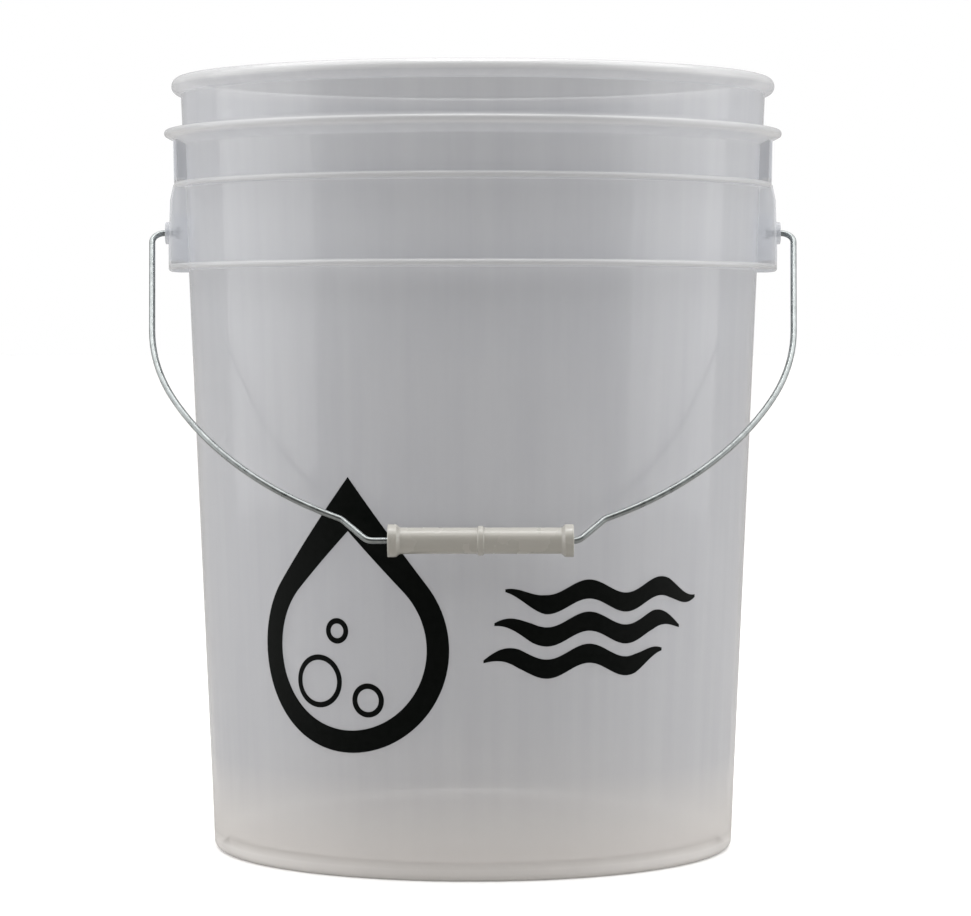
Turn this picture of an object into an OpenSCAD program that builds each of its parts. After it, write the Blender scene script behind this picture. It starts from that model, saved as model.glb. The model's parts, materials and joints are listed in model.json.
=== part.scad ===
// Wash bucket: a tapered five-gallon pail moulded in one piece, a wire bail that swings in its
// two ears, and a plastic grip that turns on the bail.
// Millimetres, +Z up. The origin is on the ground, in the middle of the foot ring.
// The ears are at +X and -X. At rest the bail leans on the front wall, at -Y.

/* [Pail] */
// Height from the ground to the top of the rim
pail_h = 380; // [376:1:390]
// Outer radius that the tapered wall would have at the ground
foot_r = 128.5; // [127.5:0.25:129.5]
// Lean of the wall out from vertical, in degrees
wall_lean = 2.45; // [2.3:0.05:2.6]
// Thickness of the wall
wall_t = 2.3; // [1.8:0.1:3]
// Thickness of the floor
floor_t = 2.8; // [2:0.1:4]
// Height of the floor's underside above the ground
floor_lift = 5.5; // [4.5:0.5:8]
// Radius of the rounded outer corner at the foot
foot_corner_r = 3.5; // [3:0.5:5.5]
// Inner radius of the ring that stands on the ground
foot_inner_r = 121.5; // [118:0.5:122]
// Radius of the round between the wall and the floor, inside
floor_corner_r = 6; // [3:0.5:10]
// Radius of the moulding gate's nub under the floor
gate_r = 5; // [3:0.5:10]
// Height of that nub
gate_h = 1; // [0.5:0.1:2]

/* [Rim and rings] */
// Radius of the rim bead's round section
bead_r = 4.2; // [3.5:0.1:4.6]
// Distance from the wall's outer face to the middle of the rim bead
bead_out = 0.3; // [0:0.1:0.8]
// Outer radius of the stacking ring
stack_r = 152.7; // [151.5:0.1:152.8]
// Height of the stacking ring's top face
stack_z = 354.2; // [353:0.1:358]
// Radius of the stacking ring's round edge
stack_edge_r = 1.7; // [1.2:0.1:2]
// Slope of the stacking ring's underside, in degrees
stack_slope = 27; // [20:1:32]
// Size of the chamfer between the stacking ring's top face and the wall
stack_chamfer = 2.2; // [1:0.1:3]
// Outer radius of the ring above the ears
upper_ring_r = 147.9; // [147.5:0.1:148.2]
// Height of the top face of the ring above the ears
upper_ring_z = 328.6; // [328:0.1:330]
// Outer radius of the ring below the ears
lower_ring_r = 150.6; // [149:0.1:150.6]
// Height of the top face of the ring below the ears
lower_ring_z = 288.4; // [287:0.1:289]
// Thickness of both rings
ring_t = 2.8; // [2.2:0.1:3.2]

/* [Ears] */
// Width of an ear around the pail
ear_w = 44; // [36:1:52]
// Outer radius of the ear's plate beside the pivot hole
ear_r = 150.6; // [150.3:0.1:150.8]
// Outer radius of the ear's plate at its top
ear_top_r = 148.3; // [147.8:0.1:149]
// Thickness of the ear's plate and of its side walls
ear_t = 2.5; // [2:0.1:2.8]
// Height of the ear's lower edge
ear_bottom_z = 284.8; // [284:0.1:285.5]
// Height at which the pocket behind the ear's plate ends
pocket_top_z = 313; // [310:0.5:318]
// Radius of the boss around the pivot hole
boss_r = 5.5; // [4.5:0.1:7]
// How far the boss stands out from the ear's plate
boss_h = 1; // [0.5:0.1:1.2]
// Ribs above each ear, between the stacking ring and the ring below it
rib_count = 5; // [3:1:7]
// Angle between two of those ribs, in degrees
rib_step = 6; // [4:1:7]
// Thickness of those ribs
rib_t = 1.6; // [1.2:0.1:2.2]

/* [Bail] */
// Height of the pivot axis
pivot_z = 304; // [302:0.5:306]
// Diameter of the wire
wire_d = 3; // [2.8:0.1:3.3]
// Diameter of the pivot holes
pivot_hole_d = 4.3; // [4.2:0.05:4.8]
// Distance from the pivot axis to the middle of the grip
bail_reach = 203; // [200:0.5:206]
// Distance from the middle to each arm, at the height of the pivot axis
bail_half_w = 159.25; // [158.5:0.25:161]
// Steepness of the arms, in degrees from the grip's direction
arm_angle = 86.6; // [86:0.1:88]
// Radius of the bend between each arm and its pin
top_bend_r = 6; // [5:0.25:6.5]
// Radius of the wide bend at each arm's lower end
shoulder_r = 110; // [96:2:120]
// Radius of the long sweep between that bend and the kink beside the grip
sweep_r = 175; // [165:1:177]
// Steepness of the sweep at its lower end, in degrees
sweep_low_angle = 24.8; // [24.4:0.2:27]
// Steepness of the sweep at its upper end, in degrees
sweep_high_angle = 61.4; // [59:0.2:63]
// Radius of the two bends of the kink
kink_r = 6; // [5:0.5:7]
// Steepness of the wire between those two bends, in degrees
kink_angle = 47.4; // [44:0.2:50]
// Straight length between those two bends
kink_run = 14.2; // [12.2:0.2:15.2]
// Diameter of the head upset on each end of the wire
head_d = 6; // [5:0.25:7]
// Thickness of that head
head_t = 2.2; // [1.6:0.1:3]
// Gap between the ear's plate and that head
head_gap = 0.5; // [0.3:0.1:1]
// Gap left between the grip and the wall that it leans on
rest_gap = 0.4; // [0.3:0.05:1]

/* [Grip] */
// Length of the grip
grip_len = 85.4; // [78:0.2:86]
// How far the loose grip has slid along the wire, towards +X
grip_shift = 3.5; // [-3.5:0.5:3.5]
// Diameter of the grip
grip_d = 12.2; // [11:0.1:13]
// Diameter of the grip's end collars
collar_d = 15.3; // [14:0.1:16]
// Length of each end collar at its full diameter
collar_len = 4; // [3:0.2:6]
// Length over which each end collar tapers down to the grip
collar_taper = 1.7; // [1:0.1:3]
// Diameter over the bead in the middle of the grip
mid_bead_d = 13.8; // [13.2:0.1:14.4]
// Radius of that bead's round section
mid_bead_r = 1.6; // [1.2:0.1:2]
// Diameter of the hole through the grip
grip_bore_d = 3.5; // [3.4:0.05:4.2]
// Size of the chamfer on the grip's end faces
grip_chamfer = 0.5; // [0.3:0.1:0.8]

/* [Hidden] */
$fn = 96;

plastic_colour = [0.82, 0.83, 0.84, 0.6];
wire_colour = [0.66, 0.68, 0.69];
grip_colour = [0.93, 0.93, 0.91];

// Depth by which one shape runs into its neighbour, and by which a cut runs past a face
bite = 1;

floor_z = floor_lift + floor_t;
bead_z = pail_h - bead_r;

// The ear's plate is straight up to the first height, and steepens at the second
ear_slope_z = 298;
ear_shoulder_z = 320;
ear_shoulder_r = ear_r - 0.8;
ear_chamfer = 1.5;
pocket_r = ear_r - ear_t;
pocket_w = ear_w - 2 * ear_t;

// The bends between the grip's straight stretch and each arm take up this width and height
bends_w =
    bend_width(kink_r, 0, kink_angle)
    + kink_run * cos(kink_angle)
    + bend_width(kink_r, sweep_low_angle, kink_angle)
    + bend_width(sweep_r, sweep_low_angle, sweep_high_angle)
    + bend_width(shoulder_r, sweep_high_angle, arm_angle);
bends_h =
    bend_height(kink_r, 0, kink_angle)
    + kink_run * sin(kink_angle)
    + bend_height(kink_r, sweep_low_angle, kink_angle)
    + bend_height(sweep_r, sweep_low_angle, sweep_high_angle)
    + bend_height(shoulder_r, sweep_high_angle, arm_angle);
top_bend_h = bend_height(top_bend_r, arm_angle, 180);
join_d = wire_d + 0.06;

// The straight stretches are what is left: along the grip to one side, up an arm, and the pin
arm_drop = bail_reach - bends_h;
hand_run = bail_half_w - arm_drop / tan(arm_angle) - bends_w;
arm_run = (arm_drop - top_bend_h) / sin(arm_angle);
pin_x = bail_half_w - top_bend_h / tan(arm_angle) + bend_width(top_bend_r, arm_angle, 180);
head_x = pocket_r - head_gap - head_t;

// The bail leans forward until the bead of its grip meets the wall, seven tenths of the way down
rest_wall_r = wall_r(pivot_z - 0.71 * bail_reach);
rest_tilt = asin((rest_wall_r + mid_bead_d / 2 + rest_gap) / bail_reach);

// Outer and inner radius of the pail's wall at a height
function wall_r(z) = foot_r + z * tan(wall_lean);
function wall_inner_r(z) = wall_r(z) - wall_t / cos(wall_lean);

// Width and height of a bend that turns the wire between two steepnesses
function bend_width(r, low, high) = r * (sin(high) - sin(low));
function bend_height(r, low, high) = r * (cos(low) - cos(high));

// The half plane inside a leaning wall, above a level, with a round corner between the two
module tapered_outline(wall_at_level, r, low, high) {
    centre = wall_at_level + r * tan(wall_lean) - r / cos(wall_lean);
    polygon([
        [0, low],
        [centre, low],
        [centre + r * cos(wall_lean), low + r - r * sin(wall_lean)],
        [wall_at_level + (high - low) * tan(wall_lean), high],
        [0, high]
    ]);
    translate([centre, low + r]) circle(r);
}

// A flat ring around the wall with a round edge, seen in section
module ring_section(r, top) {
    root = wall_r(top) - bite;
    translate([root, top - ring_t]) square([r - ring_t / 2 - root, ring_t]);
    translate([r - ring_t / 2, top - ring_t / 2]) circle(d = ring_t);
}

// The stacking ring in section: flat on top, sloping underneath, with a round edge
module stack_section() {
    edge_x = stack_r - stack_edge_r;
    edge_z = stack_z - stack_edge_r;
    low_x = edge_x + stack_edge_r * sin(stack_slope);
    low_z = edge_z - stack_edge_r * cos(stack_slope);
    neck_r = wall_r(stack_z);
    polygon([
        [neck_r - bite, stack_z + stack_chamfer + bite],
        [neck_r + stack_chamfer, stack_z],
        [edge_x, stack_z],
        [low_x, low_z],
        [neck_r - bite, low_z - (low_x - neck_r + bite) * tan(stack_slope)]
    ]);
    translate([edge_x, edge_z]) circle(stack_edge_r);
}

module pail_section() {
    difference() {
        union() {
            tapered_outline(wall_r(0), foot_corner_r, 0, bead_z);
            translate([wall_r(bead_z) + bead_out, bead_z]) circle(bead_r);
            stack_section();
            ring_section(upper_ring_r, upper_ring_z);
            ring_section(lower_ring_r, lower_ring_z);
        }
        tapered_outline(wall_inner_r(floor_z), floor_corner_r, floor_z, pail_h + bite);
        translate([0, -bite]) square([foot_inner_r, floor_lift + bite]);
    }
}

// What lies inside a section of revolution and within a given width of the +X axis
module slice(width) {
    intersection() {
        rotate([0, 0, -15]) rotate_extrude(angle = 30) children();
        translate([0, -width / 2, 0]) cube([2 * ear_r, width, pail_h]);
    }
}

module ear_block() {
    slice(ear_w)
        polygon([
            [wall_r(ear_bottom_z) - bite, ear_bottom_z],
            [ear_r - ear_chamfer, ear_bottom_z],
            [ear_r, ear_bottom_z + ear_chamfer],
            [ear_r, ear_slope_z],
            [ear_shoulder_r, ear_shoulder_z],
            [ear_top_r, upper_ring_z - ring_t / 2],
            [wall_r(upper_ring_z) - bite, upper_ring_z - ring_t / 2]
        ]);
}

// The pocket is open at the bottom, and the head of the wire sits in it
module ear_pocket() {
    low = ear_bottom_z - bite;
    slice(pocket_w)
        polygon([
            [wall_r(low), low],
            [pocket_r, low],
            [pocket_r, pocket_top_z],
            [wall_r(pocket_top_z), pocket_top_z]
        ]);
}

module pivot_boss() {
    translate([pocket_r, 0, pivot_z]) rotate([0, 90, 0]) cylinder(r = boss_r, h = ear_t + boss_h);
}

module pivot_hole() {
    translate([pocket_r - bite, 0, pivot_z])
        rotate([0, 90, 0]) cylinder(d = pivot_hole_d, h = ear_t + boss_h + 2 * bite);
}

module ear_ribs() {
    low = upper_ring_z - ring_t / 2;
    high = stack_z - 2 * stack_edge_r;
    for (i = [0 : rib_count - 1])
        rotate([90, 0, (i - (rib_count - 1) / 2) * rib_step])
            translate([0, 0, -rib_t / 2])
                linear_extrude(rib_t)
                    polygon([
                        [wall_r(low) - bite, low],
                        [upper_ring_r, low],
                        [ear_top_r, high],
                        [wall_r(high) - bite, high]
                    ]);
}

module bucket_body() {
    color(plastic_colour)
        difference() {
            union() {
                rotate_extrude() pail_section();
                translate([0, 0, floor_lift - gate_h]) cylinder(r = gate_r, h = gate_h + bite);
                for (side = [0, 180])
                    rotate([0, 0, side]) {
                        ear_block();
                        ear_ribs();
                        pivot_boss();
                    }
            }
            for (side = [0, 180])
                rotate([0, 0, side]) {
                    ear_pocket();
                    pivot_hole();
                }
        }
}

// A bend of the wire, from the origin along +X, towards +Y
module wire_bend(r, turn) {
    translate([0, r, 0])
        rotate([0, 0, -90])
            rotate_extrude(angle = turn) translate([r, 0]) circle(d = wire_d);
}

// The wire from the origin along +X: each step is [straight length, bend radius, turn],
// and a negative turn bends it to the right. A ball joins each stretch to the one before it,
// with its poles along the wire.
module wire_run(steps, i = 0) {
    run = steps[i][0];
    r = steps[i][1];
    turn = steps[i][2];
    rotate([0, 90, 0]) sphere(d = join_d);
    if (run > 0) rotate([0, 90, 0]) cylinder(d = wire_d, h = run);
    if (i < len(steps) - 1)
        translate([run, 0, 0]) {
            if (turn > 0) wire_bend(r, turn);
            else mirror([0, 1, 0]) wire_bend(r, -turn);
            translate([r * sin(abs(turn)), sign(turn) * r * (1 - cos(turn)), 0])
                rotate([0, 0, turn]) wire_run(steps, i + 1);
        }
}

module bail_side() {
    translate([hand_run, 0, -bail_reach])
        rotate([90, 0, 0])
            wire_run([
                [0, kink_r, kink_angle],
                [kink_run, kink_r, sweep_low_angle - kink_angle],
                [0, sweep_r, sweep_high_angle - sweep_low_angle],
                [0, shoulder_r, arm_angle - sweep_high_angle],
                [arm_run, top_bend_r, 180 - arm_angle],
                [pin_x - head_x, 0, 0]
            ]);
    translate([head_x, 0, 0]) rotate([0, 90, 0]) cylinder(d = head_d, h = head_t);
}

// From hanging straight down on the pivot axis to leaning on the front wall
module leaning() {
    translate([0, 0, pivot_z]) rotate([-rest_tilt, 0, 0]) children();
}

module bail_wire() {
    color(wire_colour)
        leaning() {
            bail_side();
            mirror([1, 0, 0]) bail_side();
            translate([-hand_run, 0, -bail_reach])
                rotate([0, 90, 0]) cylinder(d = wire_d, h = 2 * hand_run);
        }
}

// The grip in section, along +Y: one end's points, and the same points mirrored for the other
module grip_section() {
    end = [
        [grip_bore_d / 2, 0],
        [collar_d / 2 - grip_chamfer, 0],
        [collar_d / 2, grip_chamfer],
        [collar_d / 2, collar_len],
        [grip_d / 2, collar_len + collar_taper]
    ];
    last = len(end) - 1;
    polygon(concat(end, [for (i = [0 : last]) [end[last - i][0], grip_len - end[last - i][1]]]));
    translate([mid_bead_d / 2 - mid_bead_r, grip_len / 2]) circle(mid_bead_r);
}

module grip_sleeve() {
    color(grip_colour)
        leaning()
            translate([grip_shift - grip_len / 2, 0, -bail_reach])
                rotate([90, 0, 90]) rotate_extrude() grip_section();
}

bucket_body();
bail_wire();
grip_sleeve();
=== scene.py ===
import json
import math

import bmesh
import bpy
from mathutils import Matrix, Vector


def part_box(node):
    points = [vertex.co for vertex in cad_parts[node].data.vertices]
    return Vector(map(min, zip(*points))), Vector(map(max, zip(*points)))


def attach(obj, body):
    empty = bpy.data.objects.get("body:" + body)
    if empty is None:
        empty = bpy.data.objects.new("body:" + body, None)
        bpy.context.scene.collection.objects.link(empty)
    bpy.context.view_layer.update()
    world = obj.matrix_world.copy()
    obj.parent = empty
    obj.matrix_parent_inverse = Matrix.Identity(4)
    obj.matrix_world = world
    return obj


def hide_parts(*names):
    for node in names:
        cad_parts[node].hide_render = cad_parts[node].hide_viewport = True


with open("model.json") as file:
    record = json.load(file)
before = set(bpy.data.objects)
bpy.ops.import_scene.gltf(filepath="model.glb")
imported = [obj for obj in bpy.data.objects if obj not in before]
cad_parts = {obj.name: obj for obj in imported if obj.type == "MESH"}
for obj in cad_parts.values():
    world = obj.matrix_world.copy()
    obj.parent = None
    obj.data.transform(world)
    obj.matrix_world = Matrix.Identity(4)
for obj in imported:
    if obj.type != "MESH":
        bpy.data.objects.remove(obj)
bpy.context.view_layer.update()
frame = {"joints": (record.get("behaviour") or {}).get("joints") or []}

# A wash bucket: a milky moulded pail, its wire bail, the grip on the bail and a print on the front.
# Shapes are worked out in millimetres in the frame's own axes and scaled to metres as they are made.
MM = 0.001

# ---- Places and sizes that come from the frame ----

JOINTS = {joint["name"]: joint for joint in frame["joints"]}
PIVOT_Z = JOINTS["bail_swing"]["pos_m"][2] / MM
GRIP_AXIS = Vector(JOINTS["grip_spin"]["pos_m"]) / MM
BAIL_REACH = math.hypot(GRIP_AXIS.y, PIVOT_Z - GRIP_AXIS.z)
REST_TILT = math.atan2(-GRIP_AXIS.y, PIVOT_Z - GRIP_AXIS.z)

PAIL_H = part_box("bucket_body")[1].z / MM
GRIP_LOW, GRIP_HIGH = (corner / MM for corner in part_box("grip_sleeve"))

# ---- Sizes of the moulding, in millimetres ----

WALL_LEAN = math.radians(2.45)
FOOT_R = 128.5
FOOT_INNER_R = 121.5
FOOT_CORNER_R = 3.5
WALL_T = 2.3
FLOOR_LIFT = 5.5
FLOOR_Z = 8.3
FLOOR_CORNER_R = 6
FOOT_FILLET_R = 2
FOOT_EDGE_R = 0.6
GATE_R = 5
GATE_H = 1
GATE_FLARE = 0.5
GATE_EDGE_R = 0.4

BEAD_R = 4.2
BEAD_Z = PAIL_H - BEAD_R
BEAD_OUT = 0.3
BEAD_FILLET_R = 0.4
RIM_INNER_EDGE_R = 2.2
STACK_R = 152.68
STACK_Z = 354.2
STACK_EDGE_R = 1.7
STACK_SLOPE = math.radians(27)
STACK_TOP_FILLET_R = 2.4
NECK_FILLET_R = 1.5
UPPER_RING_R = 147.9
UPPER_RING_Z = 328.6
LOWER_RING_R = 150.55
LOWER_RING_Z = 288.4
RING_T = 2.8
RING_FILLET_R = 0.9
ROUND_SPARE = 0.02

EAR_W = 44
EAR_R = 150.6
EAR_TOP_R = 148.3
EAR_T = 2.5
EAR_BOTTOM_Z = 284.8
EAR_SLOPE_Z = 298
EAR_SHOULDER_Z = 320
EAR_EDGE_R = 1.4
EAR_FOOT_EDGE_R = 1.5
EAR_SHOULDER_R = EAR_R - 0.8
OVERLAP = 1
POCKET_TOP_Z = 313
POCKET_TOP_EDGE_R = 1
POCKET_CLEAR = 0.12
BOSS_R = 5.5
BOSS_H = 1
BOSS_EDGE_R = 0.5
PIVOT_HOLE_R = 2.15
RIB_COUNT = 5
RIB_STEP = math.radians(6)
RIB_T = 1.6

# ---- Sizes of the bail and the grip, in millimetres ----

WIRE_R = 1.5
BAIL_HALF_W = 159.25
ARM_ANGLE = math.radians(86.6)
TOP_BEND_R = 6
SHOULDER_R = 110
SWEEP_R = 175
SWEEP_LOW = math.radians(24.8)
SWEEP_HIGH = math.radians(61.4)
KINK_R = 6
KINK_ANGLE = math.radians(47.4)
KINK_RUN = 14.2
HEAD_R = 3
HEAD_T = 2.2
HEAD_GAP = 0.5
HEAD_EDGE_R = 0.6

GRIP_R = 6.1
COLLAR_R = 7.65
COLLAR_LEN = 4
COLLAR_TAPER = 1.7
MID_BEAD_R = 1.6
MID_BEAD_OUT_R = 6.9
MID_BEAD_FLAT = MID_BEAD_R * 0.75
GRIP_BORE_R = 1.75
GRIP_BORE_EDGE_R = 0.35
COLLAR_EDGE_R = 0.55
COLLAR_FOOT_R = 0.8
TAPER_FILLET_R = 1.2
MID_BEAD_EDGE_R = 0.7
MID_BEAD_FOOT_R = 0.5

# ---- Sizes of the print, in millimetres across the front and up from the ground ----

PRINT_LIFT = 0.04
PRINT_T = 0.05
PRINT_STRIP = 3.0

DROP_X = -60
DROP_CENTRE_Z = 108
DROP_R = 49
DROP_REACH = 80
DROP_LINE = 10.5
DROP_TIP_LINES = 2.4
FLANK_BEND = 0.62
BUBBLES = ((-76, 92, 12.5), (-50, 84, 8), (-66, 116, 6))
BUBBLE_LINE = 2.6

WAVE_COUNT = 3
WAVE_START = 4
WAVE_END = 122
WAVE_LOW = 98
WAVE_PITCH = 15
WAVE_T = 9
WAVE_RISE = 3.4
WAVE_LENGTH = 41
WAVE_START_STEP = 5
WAVE_END_STEP = 12

# ---- Fineness of the meshes ----

PAIL_SEGMENTS = 288
GRIP_SEGMENTS = 96
BOSS_SEGMENTS = 48
HOLE_SEGMENTS = 36
WIRE_SIDES = 28
WALL_SPACING = 12
GRIP_SPACING = 4
CIRCLE_STEPS = 64
BELLY_STEPS = 80
FLANK_STEPS = 16
WAVE_STEPS = 120
ARC_STEP = math.radians(12)
SHARP_ANGLE = math.radians(34)

# ---- Tones of the materials ----

MILK_DEEP = (0.595, 0.605, 0.635)
MILK_PALE = (0.655, 0.665, 0.69)
# Painted light: a warm, paler tone towards the ground, standing in for light thrown up from the floor.
MILK_LOW_BOUNCE_LIGHT = (0.885, 0.855, 0.825)
# Painted highlight: a paler tone on the rim and the upper edges of the rings.
MILK_EDGE_HIGHLIGHT = (0.75, 0.755, 0.765)
# Painted light: a paler, bluish tone on the ears and ribs, standing in for light passing through them.
MILK_EAR_LIGHT = (0.84, 0.86, 0.90)
# Painted light: a paler, warm floor plate, standing in for light coming back up from the ground beneath
# it.
MILK_FLOOR_LIGHT = (0.90, 0.875, 0.85)
# Painted light: a near-white foot band, lifting the shade close to the ground.
MILK_FOOT_LIGHT = (0.99, 0.97, 0.955)
WALL_ALPHA = 0.40
THICK_ALPHA = 0.58
FOOT_ALPHA = 0.82
MILK_GLOW = 0.2
ZINC_DULL = (0.20, 0.215, 0.215)
ZINC_BRIGHT = (0.32, 0.34, 0.34)
GRIP_DEEP = (0.46, 0.447, 0.408)
GRIP_PALE = (0.48, 0.467, 0.428)
INK_DEEP = (0.002, 0.003, 0.0025)
INK_PALE = (0.004, 0.005, 0.0045)
SHOWN_DEEP = (0.94, 0.94, 0.94)
SHOWN_PALE = (0.96, 0.96, 0.96)
THROWN_DEEP = (0.37, 0.36, 0.345)
THROWN_PALE = (0.39, 0.38, 0.365)
PLASTIC_IOR = 1.49
CLOUD_LOW = 0.3
CLOUD_HIGH = 0.7

# ---- The studio, in metres, degrees and watts ----

CAMERA_PLACE = (0, -1.774, 0.2574)
CAMERA_LENS_MM = 132.17
CAMERA_SENSOR_MM = 36
CAMERA_CLIP_END = 50
CAMERA_DOWN = 2.104
CAMERA_TURN = -0.201

# Each light's name, place, target, size and power.
SOFTBOXES = (
    ("side_light_right", (1.35, -0.06, 0.86), (0, -0.06, 0.32), (1.5, 2.3), 17),
    ("side_light_left", (-1.35, -0.06, 0.86), (0, -0.06, 0.32), (1.5, 2.3), 17.5),
    ("top_light", (0, -0.1, 1.15), (0, -0.08, 0.3), (0.4, 0.4), 3.3),
)
SUN_STRENGTH = 3.0
SUN_SPREAD = 90
SUN_LEAN = -4
SUN_COLOUR = (1, 0.985, 0.97)

FLOOR_HALF_MM = 30000
WORLD_SHOWN = 1.0
WORLD_BEHIND = 0.45
WORLD_NEAR_SIDE = 0.06
WORLD_FAR_SIDE = 0.5
WORLD_TURN_START = -0.3
WORLD_TURN_END = 0.6


def wall_r(z):
    """Outer radius of the pail's wall at a height."""
    return FOOT_R + z * math.tan(WALL_LEAN)


def wall_inner_r(z):
    return wall_r(z) - WALL_T / math.cos(WALL_LEAN)


# ---- Shape helpers ----

def arc(centre, radius, start, end, steps):
    """Points along an arc from one angle to another, both ends included."""
    angles = (start + (end - start) * i / steps for i in range(steps + 1))
    return [(centre[0] + radius * math.cos(a), centre[1] + radius * math.sin(a)) for a in angles]


def rounded(corners, closed=True):
    """An outline from corners (x, y, radius), with an arc in place of each corner that has a radius."""
    points = []
    count = len(corners)
    for i, (x, y, radius) in enumerate(corners):
        at = Vector((x, y))
        if radius <= 0 or (not closed and i in (0, count - 1)):
            points.append(at)
            continue
        back = (Vector(corners[i - 1][:2]) - at).normalized()
        ahead = (Vector(corners[(i + 1) % count][:2]) - at).normalized()
        half = back.angle(ahead) / 2
        turn = math.pi - 2 * half
        centre = at + (back + ahead).normalized() * radius / math.sin(half)
        first = at + back * radius / math.tan(half) - centre
        steps = max(2, math.ceil(turn / ARC_STEP))
        side = 1 if back.x * ahead.y - back.y * ahead.x < 0 else -1
        for k in range(steps + 1):
            points.append(centre + Matrix.Rotation(side * turn * k / steps, 2) @ first)
    return [(p[0], p[1]) for p in points]


def mesh_object(name, vertices, faces, place=Matrix.Identity(4)):
    """A smooth-shaded mesh object from millimetre points, placed by a matrix in millimetres."""
    mesh = bpy.data.meshes.new(name)
    mesh.from_pydata([(place @ Vector(v)) * MM for v in vertices], [], faces)
    mesh.validate()
    obj = bpy.data.objects.new(name, mesh)
    bpy.context.scene.collection.objects.link(obj)
    return obj


def tidy_shading(obj):
    """Outward normals, smooth faces, and sharp edges only where the surface really turns."""
    work = bmesh.new()
    work.from_mesh(obj.data)
    bmesh.ops.recalc_face_normals(work, faces=work.faces)
    work.to_mesh(obj.data)
    work.free()
    obj.data.shade_smooth()
    obj.data.set_sharp_from_angle(angle=SHARP_ANGLE)


def lathe(name, outline, segments, closed=True, place=Matrix.Identity(4)):
    """The solid swept by an outline of (radius, height) points as it turns about the Z axis."""
    vertices = []
    rings = []
    for radius, height in outline:
        if radius < 1e-6:
            rings.append([len(vertices)] * segments)
            vertices.append((0, 0, height))
            continue
        rings.append(list(range(len(vertices), len(vertices) + segments)))
        for k in range(segments):
            turn = 2 * math.pi * k / segments
            vertices.append((radius * math.cos(turn), radius * math.sin(turn), height))
    faces = []
    for i in range(len(rings) if closed else len(rings) - 1):
        low, high = rings[i], rings[(i + 1) % len(rings)]
        for k in range(segments):
            after = (k + 1) % segments
            face = list(dict.fromkeys((low[k], low[after], high[after], high[k])))
            if len(face) > 2:
                faces.append(face)
    return mesh_object(name, vertices, faces, place)


def loft(name, sections, place=Matrix.Identity(4)):
    """A closed solid through equal-sized rings of points, with a flat cap at each end."""
    size = len(sections[0])
    vertices = [point for section in sections for point in section]
    faces = []
    for i in range(len(sections) - 1):
        for k in range(size):
            after = (k + 1) % size
            faces.append((i * size + k, i * size + after, (i + 1) * size + after, (i + 1) * size + k))
    faces.append(tuple(range(size)))
    faces.append(tuple(range((len(sections) - 1) * size, len(sections) * size)))
    return mesh_object(name, vertices, faces, place)


def combine(obj, others, operation):
    """Joins the other solids to an object or cuts them from it, one after another, and removes them."""
    for other in others:
        for solid in (obj, other):
            tidy_shading(solid)
        modifier = obj.modifiers.new("combine", "BOOLEAN")
        modifier.operation = operation
        modifier.solver = "EXACT"
        modifier.object = other
        worked = obj.evaluated_get(bpy.context.evaluated_depsgraph_get())
        shape = bpy.data.meshes.new_from_object(worked)
        obj.modifiers.clear()
        obj.data = shape
        bpy.data.objects.remove(other)


# ---- The pail ----

def pail_outline():
    """The pail's section: out along its underside, up, over the rim and back down inside."""
    upper_low = UPPER_RING_Z - RING_T
    lower_low = LOWER_RING_Z - RING_T
    edge_x = STACK_R - STACK_EDGE_R
    low_x = edge_x + STACK_EDGE_R * math.sin(STACK_SLOPE)
    low_z = STACK_Z - STACK_EDGE_R - STACK_EDGE_R * math.cos(STACK_SLOPE)
    lip_z = low_z + (STACK_R - low_x) * math.tan(STACK_SLOPE)
    neck_z = (low_z - (low_x - FOOT_R) * math.tan(STACK_SLOPE)) / (
        1 - math.tan(WALL_LEAN) * math.tan(STACK_SLOPE)
    )
    bead_low = PAIL_H - 2 * BEAD_R
    bead_r = wall_r(BEAD_Z) + BEAD_OUT + BEAD_R
    half_ring = RING_T / 2 - ROUND_SPARE
    corners = [
        (0, FLOOR_LIFT - GATE_H, 0),
        (GATE_R, FLOOR_LIFT - GATE_H, GATE_EDGE_R),
        (GATE_R + GATE_FLARE, FLOOR_LIFT, GATE_EDGE_R),
        (FOOT_INNER_R, FLOOR_LIFT, FOOT_FILLET_R),
        (FOOT_INNER_R, 0, FOOT_EDGE_R),
        (FOOT_R, 0, FOOT_CORNER_R),
        (wall_r(lower_low), lower_low, RING_FILLET_R),
        (LOWER_RING_R, lower_low, half_ring),
        (LOWER_RING_R, LOWER_RING_Z, half_ring),
        (wall_r(LOWER_RING_Z), LOWER_RING_Z, RING_FILLET_R),
        (wall_r(upper_low), upper_low, RING_FILLET_R),
        (UPPER_RING_R, upper_low, half_ring),
        (UPPER_RING_R, UPPER_RING_Z, half_ring),
        (wall_r(UPPER_RING_Z), UPPER_RING_Z, RING_FILLET_R),
        (wall_r(neck_z), neck_z, NECK_FILLET_R),
        (STACK_R, lip_z, STACK_EDGE_R * 0.85),
        (STACK_R, STACK_Z, STACK_EDGE_R * 0.9),
        (wall_r(STACK_Z), STACK_Z, STACK_TOP_FILLET_R),
        (wall_r(bead_low), bead_low, BEAD_FILLET_R),
        (bead_r, bead_low, BEAD_R - ROUND_SPARE),
        (bead_r, PAIL_H, BEAD_R - ROUND_SPARE),
        (wall_inner_r(PAIL_H), PAIL_H, RIM_INNER_EDGE_R),
        (wall_inner_r(FLOOR_Z), FLOOR_Z, FLOOR_CORNER_R),
        (0, FLOOR_Z, 0),
    ]
    return rounded(corners, closed=False)


def with_extra_points(outline, spacing):
    """The same outline with extra points on its long stretches, so that no face is long and thin."""
    points = []
    for start, end in zip(outline, outline[1:]):
        steps = max(1, round(math.dist(start, end) / spacing))
        for i in range(steps):
            share = i / steps
            points.append(tuple(a + (b - a) * share for a, b in zip(start, end)))
    return points + [outline[-1]]


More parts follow.
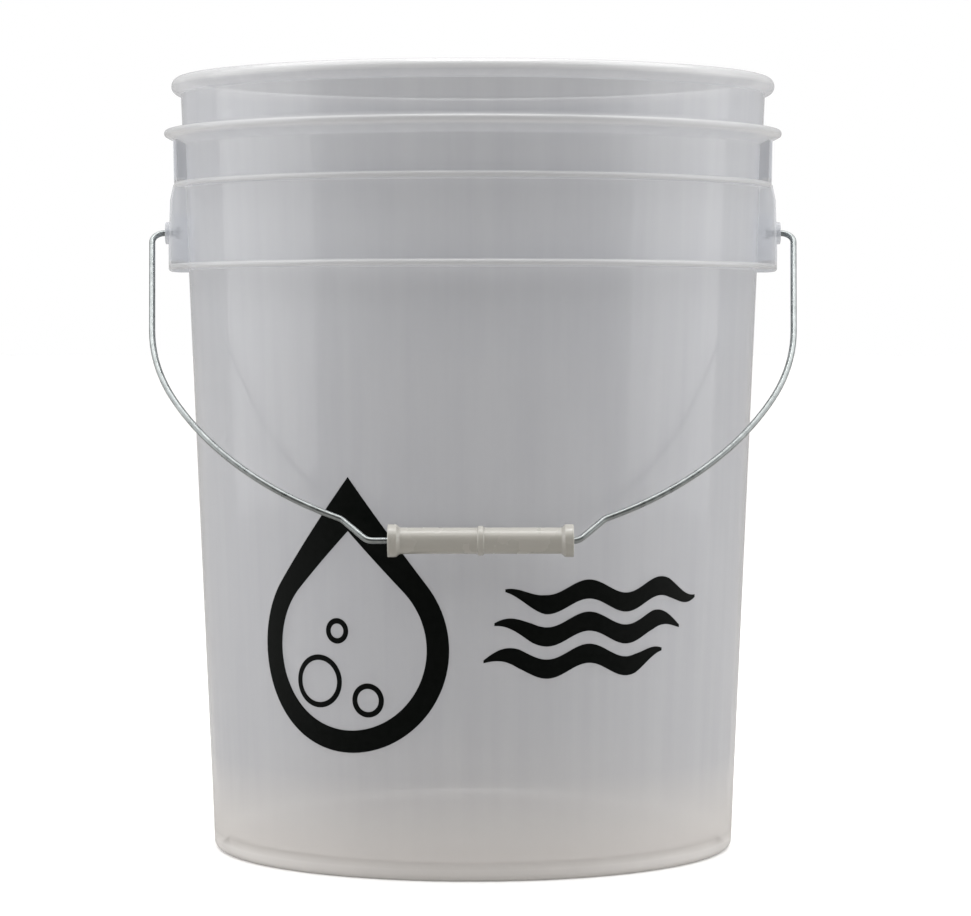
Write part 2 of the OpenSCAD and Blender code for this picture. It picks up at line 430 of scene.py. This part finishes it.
def ear_columns():
    """Distances across an ear and how far its rounded upright edges draw in at each."""
    half = EAR_W / 2
    edge = [(half - EAR_EDGE_R + EAR_EDGE_R * math.sin(a), EAR_EDGE_R * (1 - math.cos(a)))
            for a in (math.radians(15 * k) for k in range(7))]
    inner = half - EAR_EDGE_R
    middle = [(inner * (k / 10), 0) for k in range(-9, 10)]
    return [(-y, draw) for y, draw in reversed(edge)] + middle + edge


def ear_solid(side):
    """An ear's block: a section in (radius, height) carried across the ear along the pail's round."""
    sections = []
    for y, draw in ear_columns():
        low = EAR_BOTTOM_Z + draw
        corners = [
            (wall_r(low) - OVERLAP, low, 0),
            (EAR_R - draw, low, EAR_FOOT_EDGE_R),
            (EAR_R - draw, EAR_SLOPE_Z, 0),
            (EAR_SHOULDER_R - draw, EAR_SHOULDER_Z, 0),
            (EAR_TOP_R - draw, UPPER_RING_Z - RING_T / 2, 0),
            (wall_r(UPPER_RING_Z) - OVERLAP, UPPER_RING_Z - RING_T / 2, 0),
        ]
        outline = rounded(corners)
        sections.append([(side * math.sqrt(r * r - y * y), y, z) for r, z in outline])
    return loft("ear", sections)


def pocket_solid(side):
    """The hollow behind an ear's plate, open at the bottom. It stops just short of the wall."""
    half = EAR_W / 2 - EAR_T
    low = EAR_BOTTOM_Z - OVERLAP
    corners = [
        (wall_r(low) + POCKET_CLEAR, low, 0),
        (EAR_R - EAR_T, low, 0),
        (EAR_R - EAR_T, POCKET_TOP_Z, POCKET_TOP_EDGE_R),
        (wall_r(POCKET_TOP_Z) + POCKET_CLEAR, POCKET_TOP_Z, POCKET_TOP_EDGE_R),
    ]
    outline = rounded(corners)
    sections = []
    for k in range(-10, 11):
        y = half * k / 10
        sections.append([(side * math.sqrt(r * r - y * y), y, z) for r, z in outline])
    return loft("pocket", sections)


def along_x(side, start):
    """The matrix that lays a lathe's axis along the pivot axis, pointing away from the pail."""
    return Matrix.Translation((side * start, 0, PIVOT_Z)) @ Matrix.Rotation(side * math.pi / 2, 4, "Y")


def boss_solid(side):
    outline = rounded([
        (0, -OVERLAP, 0),
        (BOSS_R, -OVERLAP, 0),
        (BOSS_R, EAR_T + BOSS_H, BOSS_EDGE_R),
        (0, EAR_T + BOSS_H, 0),
    ], closed=False)
    place = along_x(side, EAR_R - EAR_T + OVERLAP)
    return lathe("boss", outline, BOSS_SEGMENTS, closed=False, place=place)


def hole_solid(side):
    past = 2
    length = EAR_T + BOSS_H + 2 * past
    outline = [(0, 0), (PIVOT_HOLE_R, 0), (PIVOT_HOLE_R, length), (0, length)]
    place = along_x(side, EAR_R - EAR_T - past)
    return lathe("hole", outline, HOLE_SEGMENTS, closed=False, place=place)


def rib_solid(side, index):
    """One upright rib between the stacking ring and the ring below it, with a rounded outer edge."""
    low = UPPER_RING_Z - RING_T / 2
    high = STACK_Z - 2 * STACK_EDGE_R
    turn = (index - (RIB_COUNT - 1) / 2) * RIB_STEP + (0 if side > 0 else math.pi)
    half = RIB_T / 2
    sections = []
    for z, out in ((low, UPPER_RING_R), (high, EAR_TOP_R)):
        outline = rounded([
            (wall_r(z) - OVERLAP, -half, 0),
            (out, -half, half * 0.9),
            (out, half, half * 0.9),
            (wall_r(z) - OVERLAP, half, 0),
        ])
        sections.append([(x, y, z) for x, y in outline])
    return loft("rib", sections, Matrix.Rotation(turn, 4, "Z"))


def pail():
    """The whole moulding: the turned shell and both ears with their ribs, bosses and hollows."""
    outline = with_extra_points(pail_outline(), WALL_SPACING)
    shell = lathe("pail_moulding", outline, PAIL_SEGMENTS, closed=False)
    added = []
    cut = []
    for side in (1, -1):
        added.append(ear_solid(side))
        added.append(boss_solid(side))
        added += [rib_solid(side, index) for index in range(RIB_COUNT)]
        cut.append(pocket_solid(side))
        cut.append(hole_solid(side))
    combine(shell, added, "UNION")
    combine(shell, cut, "DIFFERENCE")
    tidy_shading(shell)
    return shell


# ---- The bail ----

def wire_steps():
    """Half of the bail as (straight length, bend radius, turn), from its middle to a pin's end."""
    def across(radius, low, high):
        return radius * (math.sin(high) - math.sin(low))

    def along(radius, low, high):
        return radius * (math.cos(low) - math.cos(high))

    wide = (across(KINK_R, 0, KINK_ANGLE) + KINK_RUN * math.cos(KINK_ANGLE)
            + across(KINK_R, SWEEP_LOW, KINK_ANGLE) + across(SWEEP_R, SWEEP_LOW, SWEEP_HIGH)
            + across(SHOULDER_R, SWEEP_HIGH, ARM_ANGLE))
    tall = (along(KINK_R, 0, KINK_ANGLE) + KINK_RUN * math.sin(KINK_ANGLE)
            + along(KINK_R, SWEEP_LOW, KINK_ANGLE) + along(SWEEP_R, SWEEP_LOW, SWEEP_HIGH)
            + along(SHOULDER_R, SWEEP_HIGH, ARM_ANGLE))
    drop = BAIL_REACH - tall
    top = along(TOP_BEND_R, ARM_ANGLE, math.pi)
    hand_run = BAIL_HALF_W - drop / math.tan(ARM_ANGLE) - wide
    arm_run = (drop - top) / math.sin(ARM_ANGLE)
    pin_x = BAIL_HALF_W - top / math.tan(ARM_ANGLE) + across(TOP_BEND_R, ARM_ANGLE, math.pi)
    pin_run = pin_x - (EAR_R - EAR_T - HEAD_GAP - HEAD_T)
    return [
        (hand_run, KINK_R, KINK_ANGLE),
        (KINK_RUN, KINK_R, SWEEP_LOW - KINK_ANGLE),
        (0, SWEEP_R, SWEEP_HIGH - SWEEP_LOW),
        (0, SHOULDER_R, ARM_ANGLE - SWEEP_HIGH),
        (arm_run, TOP_BEND_R, math.pi - ARM_ANGLE),
        (pin_run, 0, 0),
    ]


def wire_path():
    """Half of the bail's centre line in its own plane, as (point, heading) pairs."""
    at = Vector((0, -BAIL_REACH))
    heading = 0.0
    path = []
    for run, radius, turn in wire_steps():
        ahead = Vector((math.cos(heading), math.sin(heading)))
        pieces = max(1, round(run / 4))
        path += [(at + ahead * run * k / pieces, heading) for k in range(pieces if run > 0 else 0)]
        at = at + ahead * run
        if turn:
            side = math.copysign(1, turn)
            centre = at + Vector((-ahead.y, ahead.x)) * radius * side
            steps = max(3, round(abs(turn) / math.radians(7)), round(radius * abs(turn) / 5))
            for k in range(steps):
                angle = turn * k / steps
                path.append((centre + Matrix.Rotation(angle, 2) @ (at - centre), heading + angle))
            at = centre + Matrix.Rotation(turn, 2) @ (at - centre)
            heading += turn
    path.append((at, heading))
    return path


def head_rings(at, heading):
    """The head upset on the wire's end, as (point, heading, radius): a thick disc with a domed face."""
    ahead = Vector((math.cos(heading), math.sin(heading)))
    edge = HEAD_EDGE_R
    profile = [(-HEAD_T, WIRE_R), (-HEAD_T, HEAD_R - edge)]
    profile += [(-HEAD_T + edge * (1 - math.cos(a)), HEAD_R - edge * (1 - math.sin(a)))
                for a in (math.radians(30), math.radians(60), math.radians(90))]
    profile += [(-edge * (1 - math.sin(a)), HEAD_R - edge * (1 - math.cos(a)))
                for a in (0, math.radians(30), math.radians(60), math.radians(85))]
    profile += [(-0.05, HEAD_R * 0.55), (0, HEAD_R * 0.2)]
    return [(at + ahead * run, heading, radius) for run, radius in profile]


def leaning():
    """From hanging straight down on the pivot axis to leaning on the front wall."""
    return Matrix.Translation((0, 0, PIVOT_Z)) @ Matrix.Rotation(-REST_TILT, 4, "X")


def bail():
    """The whole wire, from one pin's head to the other's."""
    half = wire_path()
    pin_end, pin_heading = half[-1]
    right = [(at, heading, WIRE_R) for at, heading in half[:-1]]
    right += head_rings(pin_end, pin_heading)
    left = [(Vector((-at.x, at.y)), -heading, radius) for at, heading, radius in right[1:]]
    sections = []
    for at, heading, radius in list(reversed(left)) + right:
        outward = Vector((-math.sin(heading), math.cos(heading)))
        ring = []
        for k in range(WIRE_SIDES):
            turn = 2 * math.pi * k / WIRE_SIDES
            in_plane = outward * radius * math.cos(turn)
            ring.append((at.x + in_plane.x, radius * math.sin(turn), at.y + in_plane.y))
        sections.append(ring)
    wire = loft("bail_rod", sections, leaning())
    tidy_shading(wire)
    return wire


# ---- The grip ----

def grip():
    """A moulded sleeve with a flared collar at each end and a round bead in the middle."""
    length = GRIP_HIGH.x - GRIP_LOW.x
    middle = length / 2
    collar_foot = COLLAR_R - 0.1
    corners = [
        (GRIP_BORE_R, 0, GRIP_BORE_EDGE_R),
        (COLLAR_R, 0, COLLAR_EDGE_R),
        (collar_foot, COLLAR_LEN, COLLAR_FOOT_R),
        (GRIP_R, COLLAR_LEN + COLLAR_TAPER, TAPER_FILLET_R),
        (GRIP_R, middle - MID_BEAD_R, MID_BEAD_FOOT_R),
        (MID_BEAD_OUT_R, middle - MID_BEAD_FLAT, MID_BEAD_EDGE_R),
        (MID_BEAD_OUT_R, middle + MID_BEAD_FLAT, MID_BEAD_EDGE_R),
        (GRIP_R, middle + MID_BEAD_R, MID_BEAD_FOOT_R),
        (GRIP_R, length - COLLAR_LEN - COLLAR_TAPER, TAPER_FILLET_R),
        (collar_foot, length - COLLAR_LEN, COLLAR_FOOT_R),
        (COLLAR_R, length, COLLAR_EDGE_R),
        (GRIP_BORE_R, length, GRIP_BORE_EDGE_R),
    ]
    outline = with_extra_points(rounded(corners), GRIP_SPACING)
    end = Matrix.Translation((GRIP_LOW.x, GRIP_AXIS.y, GRIP_AXIS.z))
    place = end @ Matrix.Rotation(math.pi / 2, 4, "Y")
    sleeve = lathe("grip_moulding", outline, GRIP_SEGMENTS, place=place)
    tidy_shading(sleeve)
    return sleeve


# ---- The print ----

def flat_shape(outlines):
    """A filled flat mesh from outlines in (across, height); an outline inside another is a hole."""
    work = bmesh.new()
    for outline in outlines:
        corners = [work.verts.new((x, 0, z)) for x, z in outline]
        for k in range(len(corners)):
            work.edges.new((corners[k - 1], corners[k]))
    bmesh.ops.triangle_fill(work, use_beauty=True, use_dissolve=False, edges=work.edges)
    return work


def wrapped(name, outlines):
    """A thin solid film on the front of the pail, cut into strips so that it follows the round."""
    work = flat_shape(outlines)
    xs = [vertex.co.x for vertex in work.verts]
    line = PRINT_STRIP * math.ceil(min(xs) / PRINT_STRIP)
    while line < max(xs):
        parts = work.verts[:] + work.edges[:] + work.faces[:]
        bmesh.ops.bisect_plane(work, geom=parts, plane_co=(line, 0, 0), plane_no=(1, 0, 0), dist=1e-5)
        line += PRINT_STRIP
    bmesh.ops.remove_doubles(work, verts=work.verts, dist=1e-4)
    lower = work.verts[:]
    film = bmesh.ops.extrude_face_region(work, geom=work.faces[:])
    upper = {part for part in film["geom"] if isinstance(part, bmesh.types.BMVert)}
    for vertex in work.verts:
        across, height = vertex.co.x, vertex.co.z
        radius = wall_r(height) + PRINT_LIFT + (PRINT_T if vertex in upper else 0)
        turn = across / wall_r(height)
        vertex.co = Vector((radius * math.sin(turn), -radius * math.cos(turn), height)) * MM
    bmesh.ops.recalc_face_normals(work, faces=work.faces)
    mesh = bpy.data.meshes.new(name)
    work.to_mesh(mesh)
    work.free()
    obj = bpy.data.objects.new(name, mesh)
    bpy.context.scene.collection.objects.link(obj)
    return obj


def circle_outline(x, z, radius):
    last = CIRCLE_STEPS - 1
    return arc((x, z), radius, 0, 2 * math.pi * last / CIRCLE_STEPS, last)


def drop_outline(radius, reach):
    """A water drop: a round belly whose flanks leave it at a tangent and curve in to a point."""
    meet = math.asin(radius / reach)
    tip = Vector((DROP_X, DROP_CENTRE_Z + reach))
    leave = Vector((DROP_X + radius * math.cos(meet), DROP_CENTRE_Z + radius * math.sin(meet)))
    bend = leave.lerp(tip, FLANK_BEND)
    flank = []
    for k in range(1, FLANK_STEPS + 1):
        share = k / FLANK_STEPS
        flank.append(leave.lerp(bend, share).lerp(bend.lerp(tip, share), share))
    right = [(point.x, point.y) for point in flank]
    left = [(2 * DROP_X - x, z) for x, z in reversed(right[:-1])]
    belly = arc((DROP_X, DROP_CENTRE_Z), radius, math.pi - meet, 2 * math.pi + meet, BELLY_STEPS)
    return belly + right + left


def wave(low, start, end):
    """One wavy band of the print, drawn to a point at each end."""
    upper = []
    lower = []
    for k in range(1, WAVE_STEPS):
        share = k / WAVE_STEPS
        x = start + (end - start) * share
        swell = WAVE_RISE * math.sin(2 * math.pi * (x - WAVE_START) / WAVE_LENGTH)
        middle = low + WAVE_T / 2 + swell
        half = WAVE_T / 2 * min(1.0, 6 * share * (1 - share) + 0.1)
        upper.append((x, middle + half))
        lower.append((x, middle - half))
    return upper + list(reversed(lower))


def print_film():
    """The front print: a drop with bubbles in it, and three waves beside it."""
    inner_reach = DROP_REACH - DROP_LINE * DROP_TIP_LINES
    drop = [drop_outline(DROP_R, DROP_REACH), drop_outline(DROP_R - DROP_LINE, inner_reach)]
    films = [wrapped("print_drop", drop)]
    for index, (x, z, radius) in enumerate(BUBBLES):
        rings = [circle_outline(x, z, radius), circle_outline(x, z, radius - BUBBLE_LINE)]
        films.append(wrapped("print_bubble_" + str(index + 1), rings))
    for index in range(WAVE_COUNT):
        start = WAVE_START + index * WAVE_START_STEP
        end = WAVE_END - (WAVE_COUNT - 1 - index) * WAVE_END_STEP
        outline = wave(WAVE_LOW + index * WAVE_PITCH, start, end)
        films.append(wrapped("print_wave_" + str(index + 1), [outline]))
    return films


# ---- Materials ----

def new_material(name):
    """A node material with its Principled shader."""
    material = bpy.data.materials.new(name)
    material.use_nodes = True
    return material, material.node_tree, material.node_tree.nodes["Principled BSDF"]


def node(tree, kind, **inputs):
    """A node with some of its inputs set by name; spaces in a name are written as underscores."""
    made = tree.nodes.new(kind)
    for key, value in inputs.items():
        made.inputs[key.replace("_", " ")].default_value = value
    return made


def object_place(tree, scale=(1, 1, 1)):
    """The object's own coordinates, stretched."""
    place = tree.nodes.new("ShaderNodeTexCoord")
    stretch = tree.nodes.new("ShaderNodeMapping")
    stretch.inputs["Scale"].default_value = scale
    tree.links.new(place.outputs["Object"], stretch.inputs["Vector"])
    return stretch.outputs["Vector"]


def noise(tree, vector, scale, detail):
    made = node(tree, "ShaderNodeTexNoise", Scale=scale, Detail=detail, Roughness=0.55)
    tree.links.new(vector, made.inputs["Vector"])
    return made.outputs["Fac"]


def ramp(tree, factor, stops):
    """A colour ramp through (place, colour) stops."""
    made = tree.nodes.new("ShaderNodeValToRGB")
    elements = made.color_ramp.elements
    while len(elements) < len(stops):
        elements.new(0.5)
    for element, (place, colour) in zip(elements, stops):
        element.position = place
        element.color = (*colour, 1)
    tree.links.new(factor, made.inputs["Fac"])
    return made.outputs["Color"]


def span(tree, factor, low, high, start=0.0, end=1.0):
    """A value carried from one range to another."""
    made = node(tree, "ShaderNodeMapRange")
    made.inputs["From Min"].default_value = start
    made.inputs["From Max"].default_value = end
    made.inputs["To Min"].default_value = low
    made.inputs["To Max"].default_value = high
    tree.links.new(factor, made.inputs["Value"])
    return made.outputs["Result"]


def mottled(tree, clouds, first, second):
    """A colour that drifts between two tones with the noise."""
    return ramp(tree, clouds, [(CLOUD_LOW, first), (CLOUD_HIGH, second)])


def uneven(tree, clouds, low, high):
    """A value that drifts between two amounts with the noise."""
    return span(tree, clouds, low, high, CLOUD_LOW, CLOUD_HIGH)


def bump(tree, shader, height, strength, distance):
    made = node(tree, "ShaderNodeBump", Strength=strength, Distance=distance)
    tree.links.new(height, made.inputs["Height"])
    tree.links.new(made.outputs["Normal"], shader.inputs["Normal"])


def math_node(tree, operation, first, second):
    """The result of a two-input maths node; each input is a socket or a number."""
    made = tree.nodes.new("ShaderNodeMath")
    made.operation = operation
    for index, value in enumerate((first, second)):
        if isinstance(value, (int, float)):
            made.inputs[index].default_value = value
        else:
            tree.links.new(value, made.inputs[index])
    return made.outputs[0]


def cylinder_place(tree, place):
    """A point's height and how far it stands out from the outside of the wall, in metres."""
    split = tree.nodes.new("ShaderNodeSeparateXYZ")
    tree.links.new(place, split.inputs[0])
    x, y, z = split.outputs
    squares = [math_node(tree, "MULTIPLY", value, value) for value in (x, y)]
    radius = math_node(tree, "SQRT", math_node(tree, "ADD", *squares), 0)
    wall = math_node(tree, "ADD", math_node(tree, "MULTIPLY", z, math.tan(WALL_LEAN)), FOOT_R * MM)
    return z, math_node(tree, "SUBTRACT", radius, wall)


def band(tree, value, low, high, soft):
    """1 between two places in millimetres and 0 beyond them, with soft ends."""
    rise = span(tree, value, 0, 1, (low - soft) * MM, (low + soft) * MM)
    fall = span(tree, value, 1, 0, (high - soft) * MM, (high + soft) * MM)
    return math_node(tree, "MULTIPLY", rise, fall)


def thick_edges_and_highlights(tree, z, proud):
    """1 on the rim and along the upper edge of each ring: the plastic is thicker there, and a paler
    tone is painted on as a highlight where the light falls on these upper edges.
    """
    standing = span(tree, proud, 0, 1, 0.3 * MM, 2.5 * MM)
    edges = None
    for top, depth in ((STACK_Z, 4.0), (UPPER_RING_Z, 2.5), (LOWER_RING_Z, 2.7)):
        edge = band(tree, z, top - depth, top + 1.5, 0.5)
        edges = edge if edges is None else math_node(tree, "MAXIMUM", edges, edge)
    rim = span(tree, z, 0, 1, (BEAD_Z - 0.8) * MM, (BEAD_Z + 0.6) * MM)
    return math_node(tree, "MAXIMUM", rim, math_node(tree, "MULTIPLY", edges, standing))


def ear_painted_light(tree, place, proud):
    """1 on the outside of the two ears and the ribs above them, where a paler, bluish tone is painted
    on as light passing through them and to lift the shade of the hollows behind.
    """
    split = tree.nodes.new("ShaderNodeSeparateXYZ")
    tree.links.new(place, split.inputs[0])
    y, z = split.outputs[1], split.outputs[2]
    across = band(tree, y, -EAR_W / 2 - 1, EAR_W / 2 + 1, 0.5)
    tall = band(tree, z, EAR_BOTTOM_Z, STACK_Z - 4, 0.5)
    outside = span(tree, proud, 0, 1, -1.5 * MM, -0.5 * MM)
    return math_node(tree, "MULTIPLY", math_node(tree, "MULTIPLY", across, tall), outside)


def blend(tree, factor, first, second):
    """Two colours mixed by a factor; each colour is a socket or three numbers."""
    made = tree.nodes.new("ShaderNodeMix")
    made.data_type = "RGBA"
    tree.links.new(factor, made.inputs["Factor"])
    for name, colour in (("A", first), ("B", second)):
        if isinstance(colour, tuple):
            made.inputs[name].default_value = (*colour, 1)
        else:
            tree.links.new(colour, made.inputs[name])
    return made.outputs["Result"]


def painted_light_zones(tree, z, proud):
    """Masks for painted light: 1 on the floor plate, near the ground, and along the foot, each fading
    out on its own.
    """
    # Painted light on the floor plate; the plate is also made more opaque.
    inside = span(tree, proud, 1, 0, -5 * MM, -3 * MM)
    level = span(tree, z, 1, 0, (FLOOR_Z + 0.3) * MM, (FLOOR_Z + 3) * MM)
    plate = math_node(tree, "MULTIPLY", inside, level)
    # Painted floor bounce: 1 at the ground, fading out by 48 mm up the wall.
    low = span(tree, z, 1, 0, 6 * MM, 48 * MM)
    # Painted light along the foot, against the shade near the ground.
    foot = span(tree, z, 1, 0, FLOOR_LIFT * MM, (FLOOR_Z + 1) * MM)
    return plate, low, foot


def milky_colour(tree, place, clouds, edges, ears, light_zones):
    """The tone of the plastic: faint upright flow streaks, with painted light laid over it: a warm,
    paler floor bounce towards the ground, and paler ears, edges, foot and floor plate.
    """
    plate, low, foot = light_zones
    streaks = noise(tree, object_place(tree, (1, 1, 0.03)), 110, 4)
    mixed = span(tree, math_node(tree, "ADD", streaks, clouds), 0, 1, 0.7, 1.3)
    tone = ramp(tree, mixed, [(0, MILK_DEEP), (1, MILK_PALE)])
    # Painted floor bounce on the low wall.
    tone = blend(tree, low, tone, MILK_LOW_BOUNCE_LIGHT)
    # Painted light along the foot.
    tone = blend(tree, foot, tone, MILK_FOOT_LIGHT)
    # Painted light on the ears and the ribs above them.
    tone = blend(tree, ears, tone, MILK_EAR_LIGHT)
    # Painted highlight along the rim and the upper edges of the rings, where thicker plastic also stops
    # more light.
    tone = blend(tree, edges, tone, MILK_EDGE_HIGHLIGHT)
    # Painted light on the floor plate.
    return blend(tree, plate, tone, MILK_FLOOR_LIGHT)


def milky_alpha(tree, edges, light_zones):
    """How much of the light the plastic stops: more where it is thick, and more along the foot so that
    the shade under the floor hardly shows through.
    """
    plate, low, foot = light_zones
    thick = span(tree, math_node(tree, "MAXIMUM", edges, plate), WALL_ALPHA, THICK_ALPHA)
    return math_node(tree, "MAXIMUM", thick, span(tree, foot, WALL_ALPHA, FOOT_ALPHA))


def milky_plastic():
    """Natural, undyed polypropylene: milky and a little see-through, glossy, thicker at its edges, with
    painted highlights along the rim and ring tops and painted light on the ears, the foot, the floor
    plate and the low wall.
    """
    material, tree, shader = new_material("milky_plastic")
    place = object_place(tree)
    z, proud = cylinder_place(tree, place)
    clouds = noise(tree, place, 7, 2)
    edges = thick_edges_and_highlights(tree, z, proud)
    light_zones = painted_light_zones(tree, z, proud)
    milk = milky_colour(tree, place, clouds, edges, ear_painted_light(tree, place, proud), light_zones)
    tree.links.new(milk, shader.inputs["Base Color"])
    tree.links.new(milky_alpha(tree, edges, light_zones), shader.inputs["Alpha"])
    tree.links.new(uneven(tree, clouds, 0.3, 0.4), shader.inputs["Roughness"])
    shader.inputs["IOR"].default_value = PLASTIC_IOR
    shader.inputs["Coat Weight"].default_value = 1.0
    shader.inputs["Coat Roughness"].default_value = 0.05
    glow = tree.nodes.new("ShaderNodeBsdfTranslucent")
    tree.links.new(milk, glow.inputs["Color"])
    both = node(tree, "ShaderNodeMixShader")
    both.inputs[0].default_value = MILK_GLOW
    tree.links.new(shader.outputs[0], both.inputs[1])
    tree.links.new(glow.outputs[0], both.inputs[2])
    tree.links.new(both.outputs[0], tree.nodes["Material Output"].inputs["Surface"])
    return material


def zinc_wire():
    """Bright zinc-plated steel with fine drawing marks and duller patches."""
    material, tree, shader = new_material("zinc_wire")
    fine = object_place(tree)
    patches = noise(tree, fine, 220, 4)
    tree.links.new(mottled(tree, patches, ZINC_DULL, ZINC_BRIGHT), shader.inputs["Base Color"])
    tree.links.new(uneven(tree, patches, 0.24, 0.38), shader.inputs["Roughness"])
    shader.inputs["Metallic"].default_value = 1.0
    bump(tree, shader, noise(tree, fine, 2600, 2), 0.15, 0.0001)
    return material


def white_grip():
    """Glossy white polypropylene."""
    material, tree, shader = new_material("white_grip")
    fine = object_place(tree)
    clouds = noise(tree, fine, 70, 3)
    tree.links.new(mottled(tree, clouds, GRIP_DEEP, GRIP_PALE), shader.inputs["Base Color"])
    tree.links.new(uneven(tree, clouds, 0.24, 0.3), shader.inputs["Roughness"])
    shader.inputs["IOR"].default_value = PLASTIC_IOR
    shader.inputs["Coat Weight"].default_value = 0.6
    shader.inputs["Coat Roughness"].default_value = 0.18
    bump(tree, shader, noise(tree, fine, 1200, 2), 0.05, 0.00005)
    return material


def print_ink():
    """Screen-printed black ink, a little uneven in its gloss."""
    material, tree, shader = new_material("print_ink")
    fine = object_place(tree)
    clouds = noise(tree, fine, 300, 4)
    tree.links.new(mottled(tree, clouds, INK_DEEP, INK_PALE), shader.inputs["Base Color"])
    tree.links.new(uneven(tree, clouds, 0.34, 0.5), shader.inputs["Roughness"])
    shader.inputs["Specular IOR Level"].default_value = 0.05
    bump(tree, shader, noise(tree, fine, 2200, 2), 0.1, 0.0001)
    return material


def pale_floor():
    """A white floor to look at, which throws only a soft warm light back at the pail."""
    material, tree, shader = new_material("pale_floor")
    clouds = noise(tree, object_place(tree), 3, 3)
    shown = mottled(tree, clouds, SHOWN_DEEP, SHOWN_PALE)
    thrown = mottled(tree, clouds, THROWN_DEEP, THROWN_PALE)
    tree.links.new(blend(tree, seen_directly(tree), thrown, shown), shader.inputs["Base Color"])
    shader.inputs["Roughness"].default_value = 0.7
    return material


def seen_directly(tree):
    """1 for what is seen with nothing in front of it, and 0 through the plastic or as a bounce."""
    rays = tree.nodes.new("ShaderNodeLightPath")
    clear = span(tree, rays.outputs["Transparent Depth"], 1, 0)
    return math_node(tree, "MULTIPLY", rays.outputs["Is Camera Ray"], clear)


def dress(obj, material, body, replaced=None):
    """Gives a piece its material and its body, and hides the part it stands in for."""
    obj.data.materials.clear()
    obj.data.materials.append(material)
    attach(obj, body)
    if replaced:
        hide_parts(replaced)


# ---- Studio ----

def camera():
    """Level with the upper half of the wall, square on to the front, far back with a long lens."""
    data = bpy.data.cameras.new("camera")
    data.lens = CAMERA_LENS_MM
    data.sensor_width = CAMERA_SENSOR_MM
    data.clip_end = CAMERA_CLIP_END
    obj = bpy.data.objects.new("camera", data)
    bpy.context.scene.collection.objects.link(obj)
    obj.location = CAMERA_PLACE
    obj.rotation_euler = (math.radians(90 - CAMERA_DOWN), 0, math.radians(CAMERA_TURN))
    bpy.context.scene.camera = obj


def softbox(name, place, target, size, power):
    """A rectangular area light at a place, aimed at a target."""
    data = bpy.data.lights.new(name, "AREA")
    data.shape = "RECTANGLE"
    data.size, data.size_y = size
    data.energy = power
    obj = bpy.data.objects.new(name, data)
    bpy.context.scene.collection.objects.link(obj)
    obj.location = place
    obj.rotation_euler = (Vector(target) - Vector(place)).to_track_quat("-Z", "Y").to_euler()


def studio():
    """Two large side lights, a small one above the grip, and a very soft light from overhead."""
    for light in SOFTBOXES:
        softbox(*light)
    data = bpy.data.lights.new("overhead", "SUN")
    data.energy = SUN_STRENGTH
    data.angle = math.radians(SUN_SPREAD)
    data.color = SUN_COLOUR
    overhead = bpy.data.objects.new("overhead", data)
    bpy.context.scene.collection.objects.link(overhead)
    overhead.rotation_euler = (math.radians(SUN_LEAN), 0, 0)


def backdrop():
    """A pale floor that runs out to a pale surround, which lights the scene less than it shows."""
    far = FLOOR_HALF_MM
    corners = [(-far, -far, 0), (far, -far, 0), (far, far, 0), (-far, far, 0)]
    floor = mesh_object("floor", corners, [(0, 1, 2, 3)])
    floor.data.materials.append(pale_floor())
    bpy.context.scene.world = surround()


def surround():
    """A world that looks white directly, and is dimmer through the plastic and as a light."""
    world = bpy.data.worlds.new("surround")
    world.use_nodes = True
    tree = world.node_tree
    glow = tree.nodes["Background"]
    place = tree.nodes.new("ShaderNodeTexCoord")
    direction = tree.nodes.new("ShaderNodeSeparateXYZ")
    tree.links.new(place.outputs["Generated"], direction.inputs[0])
    rays = tree.nodes.new("ShaderNodeLightPath")
    cast = span(tree, direction.outputs["Y"], WORLD_NEAR_SIDE, WORLD_FAR_SIDE,
                WORLD_TURN_START, WORLD_TURN_END)
    behind = tree.nodes.new("ShaderNodeMix")
    tree.links.new(rays.outputs["Is Camera Ray"], behind.inputs["Factor"])
    tree.links.new(cast, behind.inputs["A"])
    behind.inputs["B"].default_value = WORLD_BEHIND
    strength = tree.nodes.new("ShaderNodeMix")
    tree.links.new(seen_directly(tree), strength.inputs["Factor"])
    tree.links.new(behind.outputs["Result"], strength.inputs["A"])
    strength.inputs["B"].default_value = WORLD_SHOWN
    glow.inputs["Color"].default_value = (1, 1, 1, 1)
    tree.links.new(strength.outputs["Result"], glow.inputs["Strength"])
    return world


def main():
    camera()
    backdrop()
    studio()
    dress(pail(), milky_plastic(), "bucket", "bucket_body")
    dress(bail(), zinc_wire(), "bail", "bail_wire")
    dress(grip(), white_grip(), "grip", "grip_sleeve")
    ink = print_ink()
    for film in print_film():
        dress(film, ink, "bucket")


main()
bpy.context.scene.view_settings.view_transform = "Standard"
bpy.context.view_layer.update()
